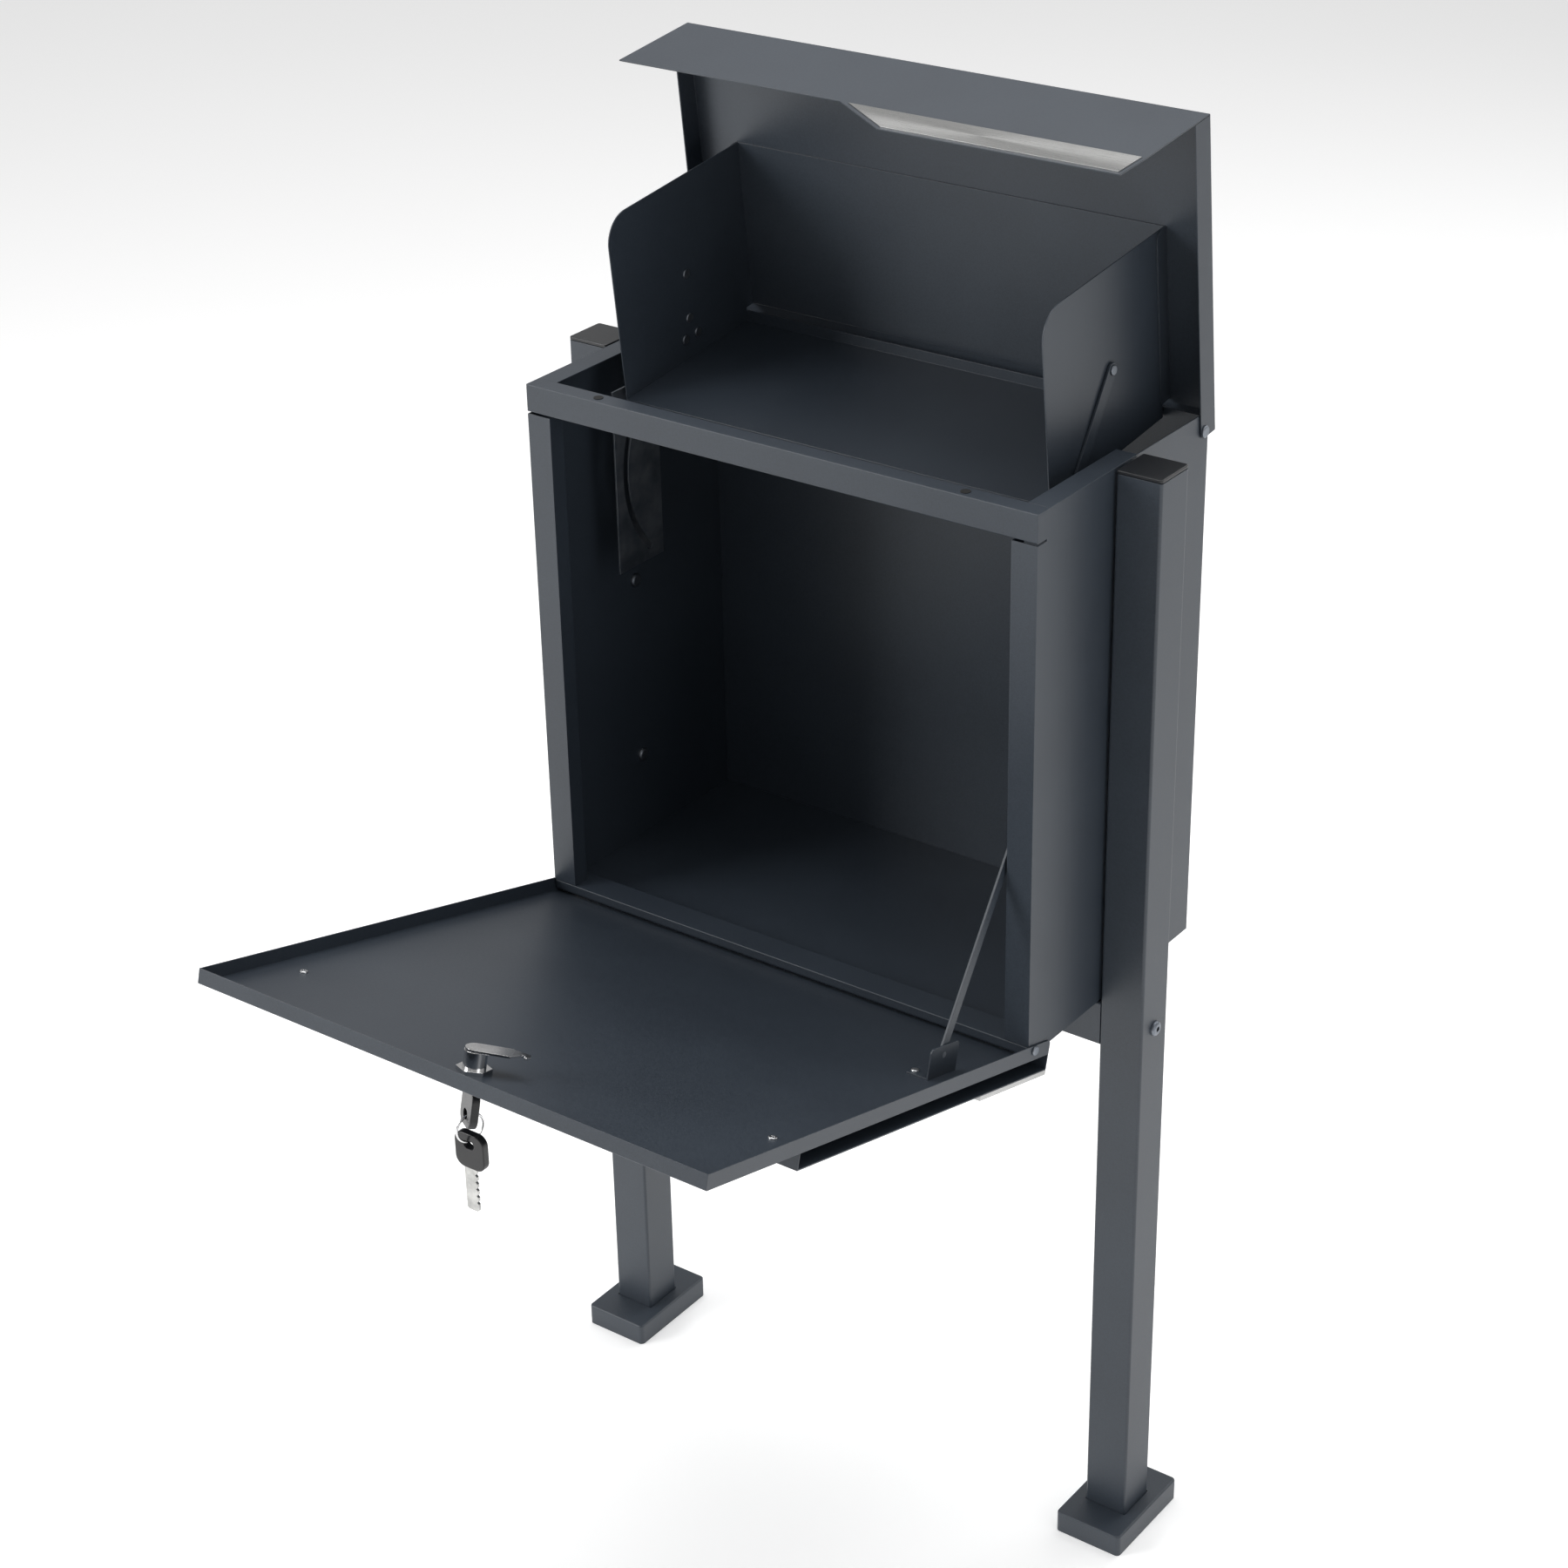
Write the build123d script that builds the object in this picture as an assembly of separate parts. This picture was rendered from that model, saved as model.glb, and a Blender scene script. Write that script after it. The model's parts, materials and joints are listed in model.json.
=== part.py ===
from build123d import *

import os
from math import atan2, cos, degrees, hypot, radians, sin

# Free-standing parcel drop box on two posts, drawn with its lid up and its door down.
#
# The sheet-metal box is drawn from its own lower front edge: x from the middle (+X right),
# y from the front face (+Y to the rear), z from the underside. The lid and the door are
# drawn shut and then swung open about their hinge lines. On export every piece moves to the
# part's frame, whose origin is on the ground in the middle of the four anchor holes.

# Box shell
BOX_W = 490.0
BOX_H = 471.0
BOX_D = 251.0
SHEET = 1.0
STILE_W = 23.0
FRAME_DEPTH = 16.0
RAIL_H = 23.5
RAIL_LIP = 8.0
FLANGE_SLOT = 2.0
TOP_FLANGE_W = 19.0
TOP_FLANGE_END = 142.0
SILL_H = 10.0
SILL_DEPTH = 26.0
SILL_BEND_R = 3.5
SIDE_FOOT_R = 3.0
SIDE_REAR_R = 5.0
BACK_TOP = 466.0

# Stand
POST = 40.0
POST_WALL = 2.0
POST_INNER_X = 247.5
POST_Y = 126.5
BOX_BOTTOM = 540.0
CAP_T = 2.5
CAP_GAP = 0.8
PLATE_T = 4.0
PLATE_SIZE = (58.0, 94.0)
COVER_SIZE = (65.0, 100.0)
COVER_H = 21.0
COVER_WALL = 1.5
ANCHOR_SPACING = 70.0
ANCHOR_R = 4.5
CROSS_RAIL = 40.0
CROSS_DROP = 1.0
BOX_SCREW_Z = (80.0, 250.0)

# Lid and its hinge line
LID_PIVOT = (243.0, 456.5)
LID_SWING = 83.65
LID_HALF_W = 246.6
LID_RISE = 16.2
LID_REACH = 258.5
LID_TAIL = 5.5
LID_FLANGE = 21.5
VISOR_DEPTH = 92.4
TAB_DEPTH = 35.4
TAB_LEFT = (-28.0, 31.0)
TAB_RIGHT = (246.6, 245.0)
PLATE_RIM = 3.2

# Tray that hangs inside the lid, measured from the lid's hinge line
TRAY_HALF_W = 206.0
TRAY_TOP = 160.8
TRAY_FRONT = 164.0
TRAY_FLOOR = 2.2
TRAY_LIP = 11.8
TRAY_LIP_BACK = 4.5
TRAY_CORNER_R = 25.0
TRAY_TAIL_CUT = 14.0
TRAY_SIDE_TAB = 14.2

# Lid arms: each links a tray wall to a curved slot in the box
ARM_PIVOT = (76.7, 71.4)
ARM_LENGTH = 105.0
ARM_DIRECTION = -122.7
ARM_W = 12.0
ARM_T = 2.0
ARM_INNER_X = 206.6
ARM_GUIDE_X = 211.5
ARM_GUIDE_T = 1.5
PIN_R = 3.0
PIN_PLAY = 0.4

# Door and its hinge line
DOOR_PIVOT = (6.8, 5.0)
DOOR_SWING = 74.7
DOOR_HALF_W = 246.5
DOOR_TAIL = 24.0
DOOR_TOP = 442.0
DOOR_FACE = 8.5
DOOR_RIM = 12.7
DOOR_TAIL_STRIP = 1.5
PANEL_FACE = 22.0
PANEL_TOP = (368.0, 328.0)
PANEL_STEP_X = (-28.0, 31.0)
PANEL_SCREWS = ((-218.0, 354.0), (218.0, 322.0))
TRIM_FACE = 26.0
TRIM_TOP = 76.0

# Door stay
STAY_RIVET = (98.8, -9.8)
STAY_LENGTH = 260.0
STAY_DIRECTION = 55.3
STAY_TURN = 31.4
STAY_W = 8.4
STAY_X = (217.8, 219.8)
STAY_GUIDE_X = 220.4
STAY_GUIDE_T = 1.5
STAY_SLOT_PLAY = 1.7
BRACKET_X = (201.5, 221.5)
BRACKET_S = (78.5, 118.5)
BRACKET_T = 1.4
BRACKET_H = 25.5
BRACKET_SCREW = (204.9, 111.0)

# Cam lock, keys and ring
LOCK_X = 1.6
LOCK_S = 403.8
LOCK_BARREL_R = 9.0
LOCK_PLUG_R = 7.0
LOCK_HEAD_R = 13.0
LOCK_IN = -9.4
LOCK_FACE = 11.0
CAM_T = 1.8
CAM_ANGLE = -29.3
CAM_LENGTH = 41.5
NUT_FLATS = 24.0
NUT_T = 3.0
NUT_TURN = 37.5
KEY_TURN = 63.6
KEY_BLADE = (11.6, 2.2)
KEY_LENGTHS = (24.0, 39.0)
KEY_HEAD = (28.5, 31.0, 6.4)
KEY_HEAD_SHIFT = 1.8
KEY_HOLE = (10.5, 7.6)
KEY_HOLE_DROP = 9.5
KEY_OUT = 8.5
RING_R = 11.6
RING_WIRE = 1.0
RING_SLACK = 1.8
RING_AZIMUTH = 72.0
SPARE_AZIMUTH = 0.0

RIVET_R = 2.5
RIVET_HEAD_R = 4.2
RIVET_HEAD_H = 1.3
HINGE_CLEARANCE = 0.06
PIVOT_CLEARANCE = 0.06


def slab(x, y, z):
    """Rectangular block from three (low, high) pairs."""
    size = [high - low for low, high in (x, y, z)]
    middle = [(high + low) / 2 for low, high in (x, y, z)]
    return Pos(*middle) * Box(*size)


def rod(start, direction, radius, length):
    """Round bar from a point along a direction."""
    frame = Plane(origin=start, z_dir=direction)
    return frame * Cylinder(radius, length, align=(Align.CENTER, Align.CENTER, Align.MIN))


def plate_x(points, x):
    """Flat plate with its outline in (y, z) and its thickness along x."""
    face = Plane.YZ.offset(x[0]) * make_face(Polyline(*points, close=True))
    return extrude(face, amount=x[1] - x[0])


def plate_y(points, y):
    """Flat plate with its outline in (x, z) and its thickness along y."""
    face = Plane.XZ.offset(-y[1]) * make_face(Polyline(*points, close=True))
    return extrude(face, amount=y[1] - y[0])


def link_bar(start, end, width, x):
    """Flat bar with round ends between two (y, z) centres."""
    length = hypot(end[0] - start[0], end[1] - start[1])
    angle = degrees(atan2(end[1] - start[1], end[0] - start[0]))
    middle = ((start[0] + end[0]) / 2, (start[1] + end[1]) / 2)
    outline = Pos(*middle) * Rot(Z=angle) * SlotCenterToCenter(length, width)
    return extrude(Plane.YZ.offset(x[0]) * outline, amount=x[1] - x[0])


def button_head(start, direction, radius, height):
    """Low domed screw or rivet head whose flat side is at the start point."""
    head = rod(start, direction, radius, height)
    crown = head.edges().filter_by(GeomType.CIRCLE)
    crown = crown.sort_by_distance(Vector(*start))[-1]
    return fillet(crown, height * 0.75)


def mirrored(part):
    """The same piece on the other side of the middle."""
    return mirror(part, about=Plane.YZ)


def swing(part, pivot, angle):
    """Turn a piece about a line along x through a (y, z) pivot."""
    return Pos(0, *pivot) * Rot(X=angle) * Pos(0, -pivot[0], -pivot[1]) * part


def swung_point(point, pivot, angle):
    """Where a (y, z) point goes when it turns about a (y, z) pivot."""
    dy, dz = point[0] - pivot[0], point[1] - pivot[1]
    c, s = cos(radians(angle)), sin(radians(angle))
    return pivot[0] + dy * c - dz * s, pivot[1] + dy * s + dz * c


def soften(part, radius, picked):
    """Round the long folds that run across the box where picked(edge) is true."""
    edges = ShapeList(e for e in part.edges().filter_by(Axis.X) if picked(e))
    return fillet(edges, radius)


def at_corner(edge, y, z):
    """Whether an edge that runs across the box lies on this (y, z) line."""
    return abs(edge.center().Y - y) < 0.01 and abs(edge.center().Z - z) < 0.01


def on_lid(along, inward):
    """(y, z) of a lid point with the lid shut: along it from the hinge, and down from it."""
    return LID_PIVOT[0] - along, LID_PIVOT[1] - inward


def on_door(up, outward):
    """(y, z) of a door point with the door shut: up from the hinge, and out of its face."""
    return DOOR_PIVOT[0] - outward, DOOR_PIVOT[1] + up


def span(a, b):
    """The two numbers in rising order."""
    return (min(a, b), max(a, b))


def lid_block(x, along, inward):
    """Block given in lid measures."""
    (y0, z0), (y1, z1) = on_lid(along[0], inward[0]), on_lid(along[1], inward[1])
    return slab(x, span(y0, y1), span(z0, z1))


def door_block(x, up, outward):
    """Block given in door measures."""
    (y0, z0), (y1, z1) = on_door(up[0], outward[0]), on_door(up[1], outward[1])
    return slab(x, span(y0, y1), span(z0, z1))


HALF = BOX_W / 2
INSIDE = HALF - SHEET
RAIL_BOTTOM = BOX_H - RAIL_H
STILE_TOP = RAIL_BOTTOM - FLANGE_SLOT
POST_X = POST_INNER_X + POST / 2
GROUND = -BOX_BOTTOM
POST_TOP = BOX_H - CAP_T - CAP_GAP
OUT = {1: (1, 0, 0), -1: (-1, 0, 0)}
UP = (0, 0, 1)
DOWN = (0, 0, -1)


# ---------------------------------------------------------------- box shell
def right_side_panel():
    """Side sheet folded round the front into a hollow stile, with a flange along the top."""
    side = slab((INSIDE, HALF), (0, BOX_D - SHEET), (0, BOX_H - SHEET))
    stile_x = HALF - STILE_W
    stile_z = (SILL_H + 0.2, STILE_TOP)
    stile = slab((stile_x, HALF), (0, SHEET), stile_z)
    stile += slab((stile_x, stile_x + SHEET), (0, FRAME_DEPTH), stile_z)
    top = slab((HALF - TOP_FLANGE_W, HALF), (FRAME_DEPTH + 0.3, TOP_FLANGE_END),
               (BOX_H - SHEET, BOX_H))
    rear_top = slab((INSIDE, HALF), (TOP_FLANGE_END - 1, BOX_D - SHEET), (BOX_H - SHEET, BOX_H))
    panel = side + stile + top + rear_top
    panel -= slab((INSIDE - 1, HALF + 1), (-1, SHEET), (STILE_TOP, BOX_H + 1))
    panel -= slab((INSIDE - 1, HALF + 1), (-1, FRAME_DEPTH - 3.5), (STILE_TOP, RAIL_BOTTOM))
    panel -= slab((INSIDE - 1, HALF + 1), (-1, SHEET), (-1, SILL_H + 0.2))
    for pivot in (LID_PIVOT, DOOR_PIVOT):
        panel -= rod((INSIDE - 1, *pivot), OUT[1], RIVET_R, 3)
    for z in BOX_SCREW_Z:
        panel -= rod((INSIDE - 1, POST_Y, z), OUT[1], 3.1, 3)
    # Two round corners let the lid sheet and the door sheet swing past.
    panel = soften(panel, SIDE_REAR_R, lambda e: at_corner(e, BOX_D - SHEET, BOX_H))
    return soften(panel, SIDE_FOOT_R, lambda e: at_corner(e, SHEET, 0))


def back_panel():
    """Rear sheet between the sides, a little lower than them to clear the lid."""
    return slab((-HALF, HALF), (BOX_D - SHEET, BOX_D), (0, BACK_TOP))


def bottom_panel():
    """Floor sheet folded up and back at the front into a hollow sill."""
    floor = slab((-INSIDE, INSIDE), (0, BOX_D - SHEET), (0, SHEET))
    floor += slab((-INSIDE, INSIDE), (0, SHEET), (0, SILL_H))
    floor += slab((-INSIDE, INSIDE), (0, SILL_DEPTH), (SILL_H - SHEET, SILL_H))
    floor += slab((-INSIDE, INSIDE), (SILL_DEPTH - SHEET, SILL_DEPTH), (SILL_H - 4, SILL_H))
    floor = soften(floor, 0.6, lambda e: e.center().Y < 0.01 and e.center().Z > 1)
    # The lower bend is round, so that the door sheet swings past it.
    floor = soften(floor, SILL_BEND_R - SHEET, lambda e: at_corner(e, SHEET, SHEET))
    return soften(floor, SILL_BEND_R, lambda e: at_corner(e, 0, 0))


def front_top_rail():
    """Folded rail across the top of the door opening, with a lip that the lock's cam holds."""
    z = (RAIL_BOTTOM, BOX_H)
    rail = slab((-HALF, HALF), (0, SHEET), z)
    rail += slab((-INSIDE, INSIDE), (0, FRAME_DEPTH), (BOX_H - SHEET, BOX_H))
    rail += slab((-HALF, HALF), (0, FRAME_DEPTH), (BOX_H - SHEET, BOX_H))
    rail += slab((-INSIDE, INSIDE), (0, FRAME_DEPTH), (RAIL_BOTTOM, RAIL_BOTTOM + SHEET))
    rail += slab((-INSIDE, INSIDE), (FRAME_DEPTH - SHEET, FRAME_DEPTH),
                 (RAIL_BOTTOM, RAIL_BOTTOM + RAIL_LIP))
    rail += slab((-INSIDE, INSIDE), (FRAME_DEPTH - SHEET, FRAME_DEPTH), (BOX_H - 5, BOX_H))
    for x in (-176, 176):
        rail -= rod((x, FRAME_DEPTH / 2, BOX_H - 3), UP, 2, 5)
    return soften(rail, 0.7, lambda e: e.center().Y < 0.01)


def lid_bumpers():
    """Rubber buttons in the rail that the shut lid rests on."""
    buttons = []
    for x in (-176, 176):
        stem = rod((x, FRAME_DEPTH / 2, BOX_H - 3), UP, 2, 3.1)
        button = rod((x, FRAME_DEPTH / 2, BOX_H), UP, 4, 0.5)
        buttons.append(stem + button)
    return buttons


# ---------------------------------------------------------------- stand
def right_post():
    """Square tube post with holes for the cross-rail bolt and the box screws."""
    x = (POST_INNER_X, POST_INNER_X + POST)
    y = (POST_Y - POST / 2, POST_Y + POST / 2)
    post = slab(x, y, (GROUND + PLATE_T, POST_TOP))
    post = fillet(post.edges().filter_by(Axis.Z), 2.2)
    core = slab((x[0] + POST_WALL, x[1] - POST_WALL), (y[0] + POST_WALL, y[1] - POST_WALL),
                (GROUND + PLATE_T - 1, POST_TOP + 1))
    post -= core
    post -= rod((x[0] - 1, POST_Y, cross_rail_z()), OUT[1], 4.2, POST + 2)
    for z in BOX_SCREW_Z:
        post -= rod((x[0] - 1, POST_Y, z), OUT[1], 3.1, POST_WALL + 2)
    return post


def cross_rail_z():
    """Height of the cross rail's middle."""
    return -CROSS_DROP - CROSS_RAIL / 2


def right_post_cap():
    """Plastic cap: a square plate over a plug that sits in the tube."""
    x = (POST_INNER_X, POST_INNER_X + POST)
    y = (POST_Y - POST / 2, POST_Y + POST / 2)
    top = slab(x, y, (BOX_H - CAP_T, BOX_H))
    top = fillet(top.edges().filter_by(Axis.Z), 2.2)
    top = fillet(top.faces().sort_by(Axis.Z)[-1].edges(), 0.8)
    inset = POST_WALL + 0.2
    plug = slab((x[0] + inset, x[1] - inset), (y[0] + inset, y[1] - inset),
                (BOX_H - CAP_T - 14, BOX_H - CAP_T))
    hollow = slab((x[0] + inset + 2, x[1] - inset - 2), (y[0] + inset + 2, y[1] - inset - 2),
                  (BOX_H - CAP_T - 15, BOX_H - CAP_T - 1))
    return top + plug - hollow


def right_base_plate():
    """Steel plate under the post with two anchor holes."""
    plate = slab((POST_X - PLATE_SIZE[0] / 2, POST_X + PLATE_SIZE[0] / 2),
                 (POST_Y - PLATE_SIZE[1] / 2, POST_Y + PLATE_SIZE[1] / 2),
                 (GROUND, GROUND + PLATE_T))
    for side in (-1, 1):
        centre = (POST_X, POST_Y + side * ANCHOR_SPACING / 2, GROUND - 1)
        plate -= rod(centre, UP, ANCHOR_R, PLATE_T + 2)
    return plate


def right_foot_cover():
    """Rectangular cover shell that slides down the post over the base plate."""
    def block(size, z):
        return slab((POST_X - size[0] / 2, POST_X + size[0] / 2),
                    (POST_Y - size[1] / 2, POST_Y + size[1] / 2), z)
    shell = block(COVER_SIZE, (GROUND, GROUND + COVER_H))
    shell = fillet(shell.edges().filter_by(Axis.Z), 4.0)
    shell = fillet(shell.faces().sort_by(Axis.Z)[-1].edges(), 1.6)
    inner = [side - 2 * COVER_WALL for side in COVER_SIZE]
    shell -= block(inner, (GROUND - 1, GROUND + COVER_H - COVER_WALL))
    hole = (POST + 0.6, POST + 0.6)
    return shell - block(hole, (GROUND, GROUND + COVER_H + 1))


def cross_rail():
    """Square tube between the posts, under the box, closed by a plate at each end."""
    y = (POST_Y - CROSS_RAIL / 2, POST_Y + CROSS_RAIL / 2)
    z = (-CROSS_DROP - CROSS_RAIL, -CROSS_DROP)
    tube = slab((-POST_INNER_X, POST_INNER_X), y, z)
    tube = fillet(tube.edges().filter_by(Axis.X), 1.6)
    wall = 1.5
    tube -= slab((-POST_INNER_X + 4, POST_INNER_X - 4), (y[0] + wall, y[1] - wall),
                 (z[0] + wall, z[1] - wall))
    for side in (-1, 1):
        start = (side * (POST_INNER_X + 1), POST_Y, cross_rail_z())
        tube -= rod(start, OUT[-side], 4.0, 8)
    return tube


def cross_rail_bolts():
    """Button-head bolts through each post into the cross rail's end plates."""
    bolts = []
    for side in (-1, 1):
        outer = POST_INNER_X + POST
        shank = rod((side * (outer + 0.5), POST_Y, cross_rail_z()), OUT[-side], 4.0, POST + 12)
        head = button_head((side * outer, POST_Y, cross_rail_z()), OUT[side], 6.5, 3.6)
        socket = Pos(side * (outer + 2.6), POST_Y, cross_rail_z()) * Rot(Y=90)
        socket *= extrude(RegularPolygon(2.5, 6), amount=2.2, both=True)
        bolts.append(shank + head - socket)
    return bolts


def box_screws():
    """Screws from inside the box into the posts."""
    screws = []
    for side in (-1, 1):
        for z in BOX_SCREW_Z:
            shank = rod((side * INSIDE, POST_Y, z), OUT[side], 3.0, 14)
            head = button_head((side * INSIDE, POST_Y, z), OUT[-side], 6.0, 3.2)
            screws.append(shank + head)
    return screws


def box_spacers():
    """Washers that hold the box clear of the posts, so that the lid's sides pass between."""
    rings = []
    for side in (-1, 1):
        for z in BOX_SCREW_Z:
            ring = rod((side * HALF, POST_Y, z), OUT[side], 8.0, POST_INNER_X - HALF)
            rings.append(ring - rod((side * (HALF - 1), POST_Y, z), OUT[side], 3.1, 6))
    return rings


# ---------------------------------------------------------------- lid and tray
def lid_cover():
    """Lid sheet with side flanges, a deep visor at its end and a pull tab on the visor."""
    outer = -LID_RISE
    inner = outer + SHEET
    top = lid_block((-LID_HALF_W, LID_HALF_W), (-LID_TAIL, LID_REACH), (outer, inner))
    lid = top
    for side in (-1, 1):
        x = span(side * (LID_HALF_W - SHEET), side * LID_HALF_W)
        flange = lid_block(x, (-LID_TAIL, LID_REACH - SHEET - 0.5), (outer, outer + LID_FLANGE))
        corner = flange.edges().filter_by(Axis.X).sort_by_distance(
            Vector(0, *on_lid(-LID_TAIL, outer + LID_FLANGE)))[:2]
        corner = ShapeList(e for e in corner if e.center().Z < LID_PIVOT[1])
        flange = fillet(corner, 5.0)
        lid += flange
    z_top = LID_PIVOT[1] - outer
    z_visor = z_top - VISOR_DEPTH
    z_tab = z_visor - TAB_DEPTH
    y_face = LID_PIVOT[0] - LID_REACH
    outline = [(-LID_HALF_W, z_top), (LID_HALF_W, z_top), (LID_HALF_W, z_visor),
               (TAB_RIGHT[1], z_tab), (TAB_LEFT[1], z_tab), (TAB_LEFT[0], z_visor),
               (-LID_HALF_W, z_visor)]
    lid += plate_y(outline, (y_face, y_face + SHEET))
    for side in (-1, 1):
        start = (side * (LID_HALF_W - SHEET - 1), *LID_PIVOT)
        lid -= rod(start, OUT[side], RIVET_R + HINGE_CLEARANCE, SHEET + 2)
    return soften(lid, 0.9, lambda e: e.center().Y < y_face + 0.01 and e.center().Z > z_top - 0.01)


def handle_plate():
    """Brushed steel plate on the face of the pull tab."""
    z_visor = LID_PIVOT[1] + LID_RISE - VISOR_DEPTH
    z_tab = z_visor - TAB_DEPTH
    y_face = LID_PIVOT[0] - LID_REACH
    lean = (TAB_LEFT[1] - TAB_LEFT[0]) / TAB_DEPTH
    low, high = z_tab + PLATE_RIM, z_visor - 2.0
    def left_edge(z):
        return TAB_LEFT[1] - (z - z_tab) * lean + PLATE_RIM * 1.9
    outline = [(left_edge(high), high), (TAB_RIGHT[0] - PLATE_RIM, high),
               (TAB_RIGHT[1] - PLATE_RIM, low), (left_edge(low), low)]
    return plate_y(outline, (y_face - 0.8, y_face))


def tray_wall(side):
    """Side wall of the tray, with the rounded corner that clears the front rail."""
    back = -LID_RISE + 2 * SHEET
    tail_in = -TRAY_LIP_BACK
    low = TRAY_FLOOR - SHEET
    outline = [on_lid(low, tail_in), on_lid(low, TRAY_FRONT), on_lid(TRAY_TOP, TRAY_FRONT),
               on_lid(TRAY_TOP, back), on_lid(TRAY_TAIL_CUT, back),
               on_lid(TRAY_TAIL_CUT, tail_in)]
    x = span(side * (TRAY_HALF_W - SHEET), side * TRAY_HALF_W)
    wall = plate_x(outline, x)
    corner = wall.edges().filter_by(Axis.X).sort_by_distance(
        Vector(0, *on_lid(TRAY_TOP, TRAY_FRONT)))[0]
    wall = fillet(corner, TRAY_CORNER_R)
    wall -= rod((side * (TRAY_HALF_W - SHEET - 1), *on_lid(*ARM_PIVOT)), OUT[side], RIVET_R, 3)
    if side < 0:
        for spot in TRAY_RIVETS:
            wall -= rod((-TRAY_HALF_W - 1, *on_lid(*spot)), OUT[1], RIVET_R, 3)
    return wall


TRAY_RIVETS = ((37.4, 73.3), (20.9, 64.3), (20.6, 81.2))


def tray_back_wall():
    """Back wall under the lid sheet, with a rounded tab folded round each side wall."""
    outer = -LID_RISE + SHEET
    wall = lid_block((-TRAY_HALF_W - SHEET, TRAY_HALF_W + SHEET), (TRAY_TAIL_CUT, TRAY_TOP),
                     (outer, outer + SHEET))
    for side in (-1, 1):
        x = span(side * TRAY_HALF_W, side * (TRAY_HALF_W + SHEET))
        tab = lid_block(x, (TRAY_TAIL_CUT, TRAY_TOP), (outer, outer + TRAY_SIDE_TAB))
        corner = tab.edges().filter_by(Axis.X).sort_by_distance(
            Vector(0, *on_lid(TRAY_TOP, outer + TRAY_SIDE_TAB)))[0]
        wall += fillet(corner, 8.0)
    return wall


def tray_floor():
    """Floor of the tray, turned up at the rear into a low lip."""
    half = TRAY_HALF_W - SHEET
    floor = lid_block((-half, half), (TRAY_FLOOR - SHEET, TRAY_FLOOR),
                      (-TRAY_LIP_BACK, TRAY_FRONT))
    floor += lid_block((-half, half), (TRAY_FLOOR - SHEET, TRAY_LIP),
                       (-TRAY_LIP_BACK, -TRAY_LIP_BACK + SHEET))
    return floor


def rivet(spot, side, inner_x, outer_x):
    """Rivet through sheets between two x positions, with a head at each end."""
    start = (side * inner_x, *spot)
    end = (side * outer_x, *spot)
    shank = rod(start, OUT[side], RIVET_R, outer_x - inner_x)
    return shank + button_head(start, OUT[-side], RIVET_HEAD_R, RIVET_HEAD_H) \
        + button_head(end, OUT[side], RIVET_HEAD_R, RIVET_HEAD_H)


def tray_backing_plate():
    """Small three-cornered plate riveted outside the left wall."""
    outline = [on_lid(47, 66), on_lid(47, 81), on_lid(13, 90), on_lid(13, 55)]
    plate = plate_x(outline, (-TRAY_HALF_W - 1.5, -TRAY_HALF_W))
    plate = fillet(plate.edges().filter_by(Axis.X), 4.0)
    for spot in TRAY_RIVETS:
        plate -= rod((-TRAY_HALF_W - 3, *on_lid(*spot)), OUT[1], RIVET_R, 5)
    return plate


def tray_rivets():
    """The backing plate's three rivets."""
    return [rivet(on_lid(*spot), -1, TRAY_HALF_W - SHEET, TRAY_HALF_W + 1.5)
            for spot in TRAY_RIVETS]


# ---------------------------------------------------------------- lid arms
ARM_A = swung_point(on_lid(*ARM_PIVOT), LID_PIVOT, -LID_SWING)
ARM_STEP = (ARM_LENGTH * cos(radians(ARM_DIRECTION)), ARM_LENGTH * sin(radians(ARM_DIRECTION)))
ARM_B = (ARM_A[0] + ARM_STEP[0], ARM_A[1] + ARM_STEP[1])
SLOT_CENTRE = (LID_PIVOT[0] + ARM_STEP[0], LID_PIVOT[1] + ARM_STEP[1])
SLOT_R = hypot(*ARM_PIVOT)
SLOT_START = degrees(atan2(ARM_B[1] - SLOT_CENTRE[1], ARM_B[0] - SLOT_CENTRE[0]))
ARM_X = (ARM_INNER_X, ARM_INNER_X + ARM_T)


def arm_bar():
    """Right-hand lid arm."""
    bar = link_bar(ARM_A, ARM_B, ARM_W, ARM_X)
    bar -= rod((ARM_X[0] - 1, *ARM_A), OUT[1], RIVET_R + PIVOT_CLEARANCE, ARM_T + 2)
    return bar - rod((ARM_X[0] - 1, *ARM_B), OUT[1], PIN_R, ARM_T + 2)


def arm_pin():
    """Headed pin fixed in the arm's lower end, which runs in the curved slot."""
    guide_out = ARM_GUIDE_X + ARM_GUIDE_T
    pin = rod((ARM_X[0], *ARM_B), OUT[1], PIN_R, guide_out + 0.8 - ARM_X[0])
    return pin + button_head((guide_out + 0.4, *ARM_B), OUT[1], 6.0, 1.6)


def arc_band(centre, radius, half_width, start, sweep):
    """Face of a curved slot with round ends, in (y, z)."""
    def at(r, angle):
        return (centre[0] + r * cos(radians(angle)), centre[1] + r * sin(radians(angle)))
    end = start + sweep
    half = start + sweep / 2
    outer, inner = radius + half_width, radius - half_width
    ring = [ThreePointArc(at(outer, start), at(outer, half), at(outer, end)),
            Line(at(outer, end), at(inner, end)),
            ThreePointArc(at(inner, end), at(inner, half), at(inner, start)),
            Line(at(inner, start), at(outer, start))]
    band = make_face(ring)
    for angle in (start, end):
        band += Pos(*at(radius, angle)) * Circle(half_width)
    return band


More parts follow.
